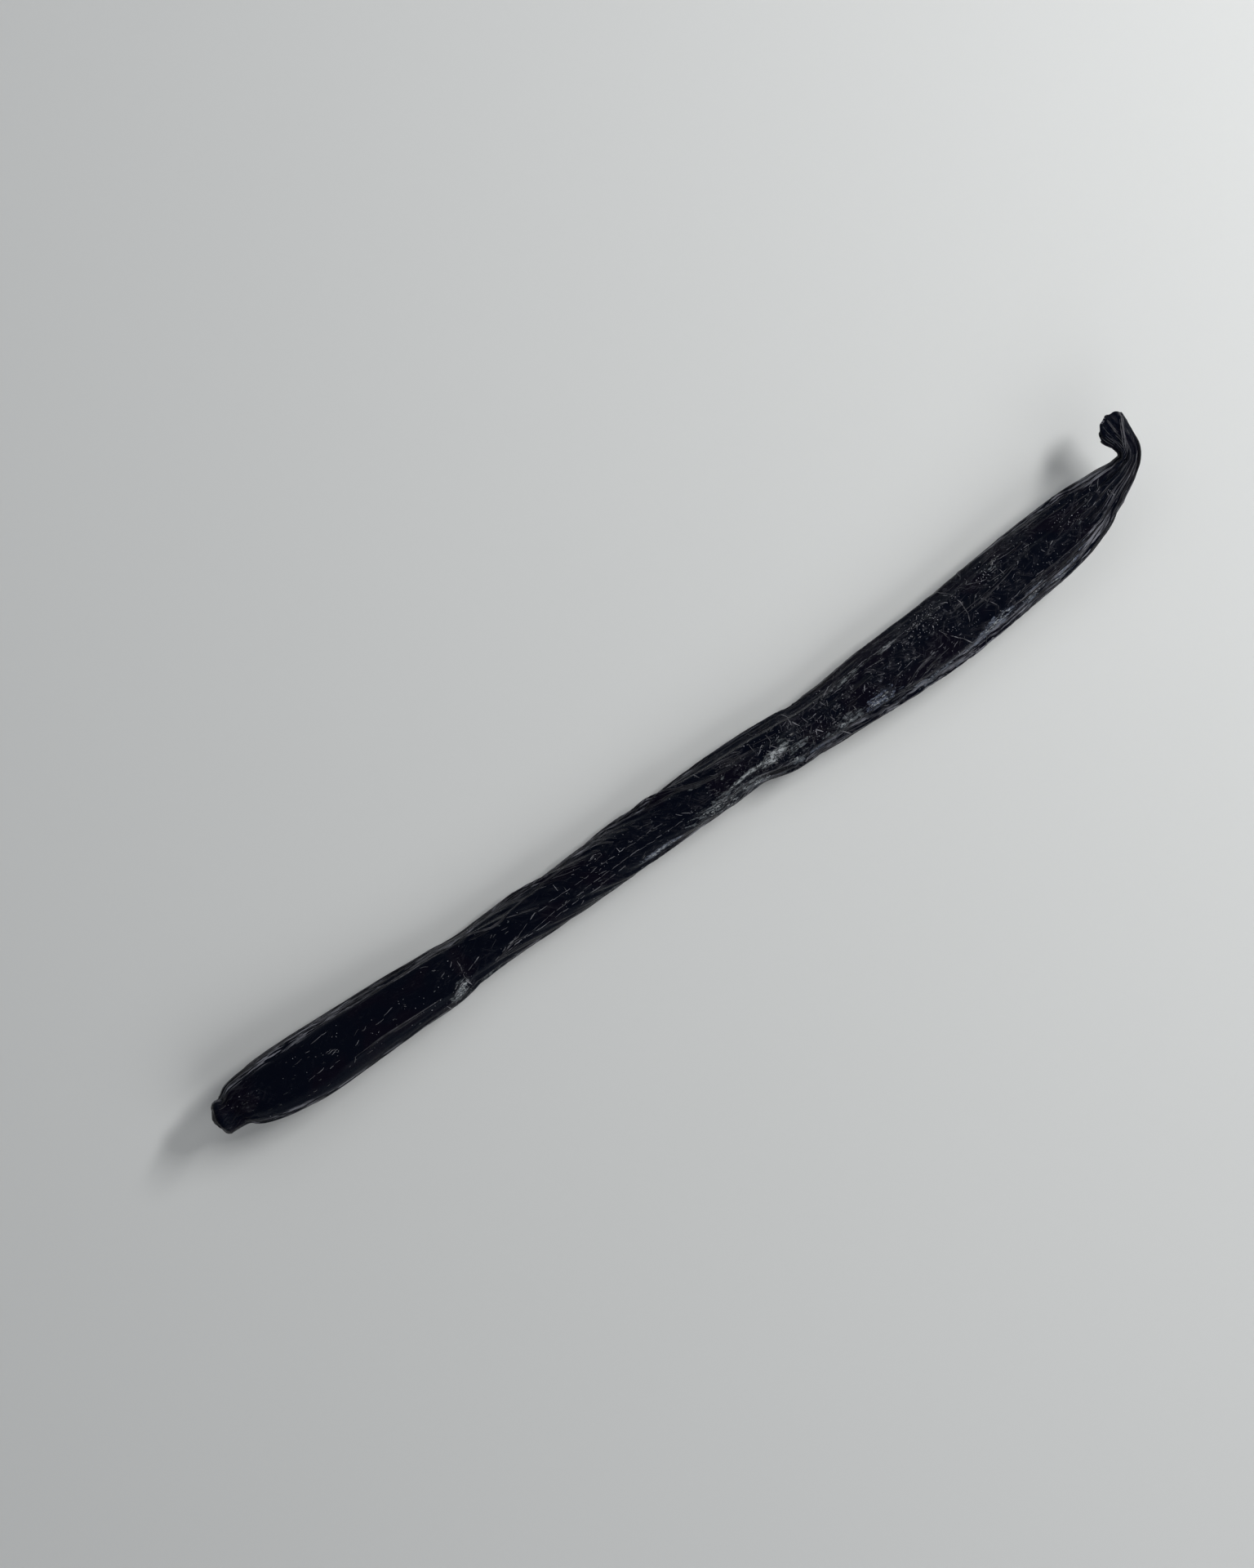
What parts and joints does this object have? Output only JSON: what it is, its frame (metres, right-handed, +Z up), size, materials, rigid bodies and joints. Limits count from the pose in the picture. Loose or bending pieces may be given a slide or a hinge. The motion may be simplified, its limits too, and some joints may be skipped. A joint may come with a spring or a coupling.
{
  "type": "vanilla pod",
  "caption": "Cured vanilla pod: a long, flattened, wrinkled bean with a blunt blossom end, creases where it was bent, a leaning twist in its middle and a hooked, ragged stem.",
  "frame": {"origin": "under the middle of the pod's box, on the surface it rests on", "axes": "+X from the blossom end towards the stem hook, +Y towards the side the hook curls to, +Z up"},
  "size_m": [0.1738, 0.018, 0.0111],
  "materials": {
    "pod_skin": "oily, near-black, wrinkled plant skin with soft glints along its folds"
  },
  "bodies": {
    "root": {"vanilla_pod": "pod_skin"}
  },
  "joints": []
}
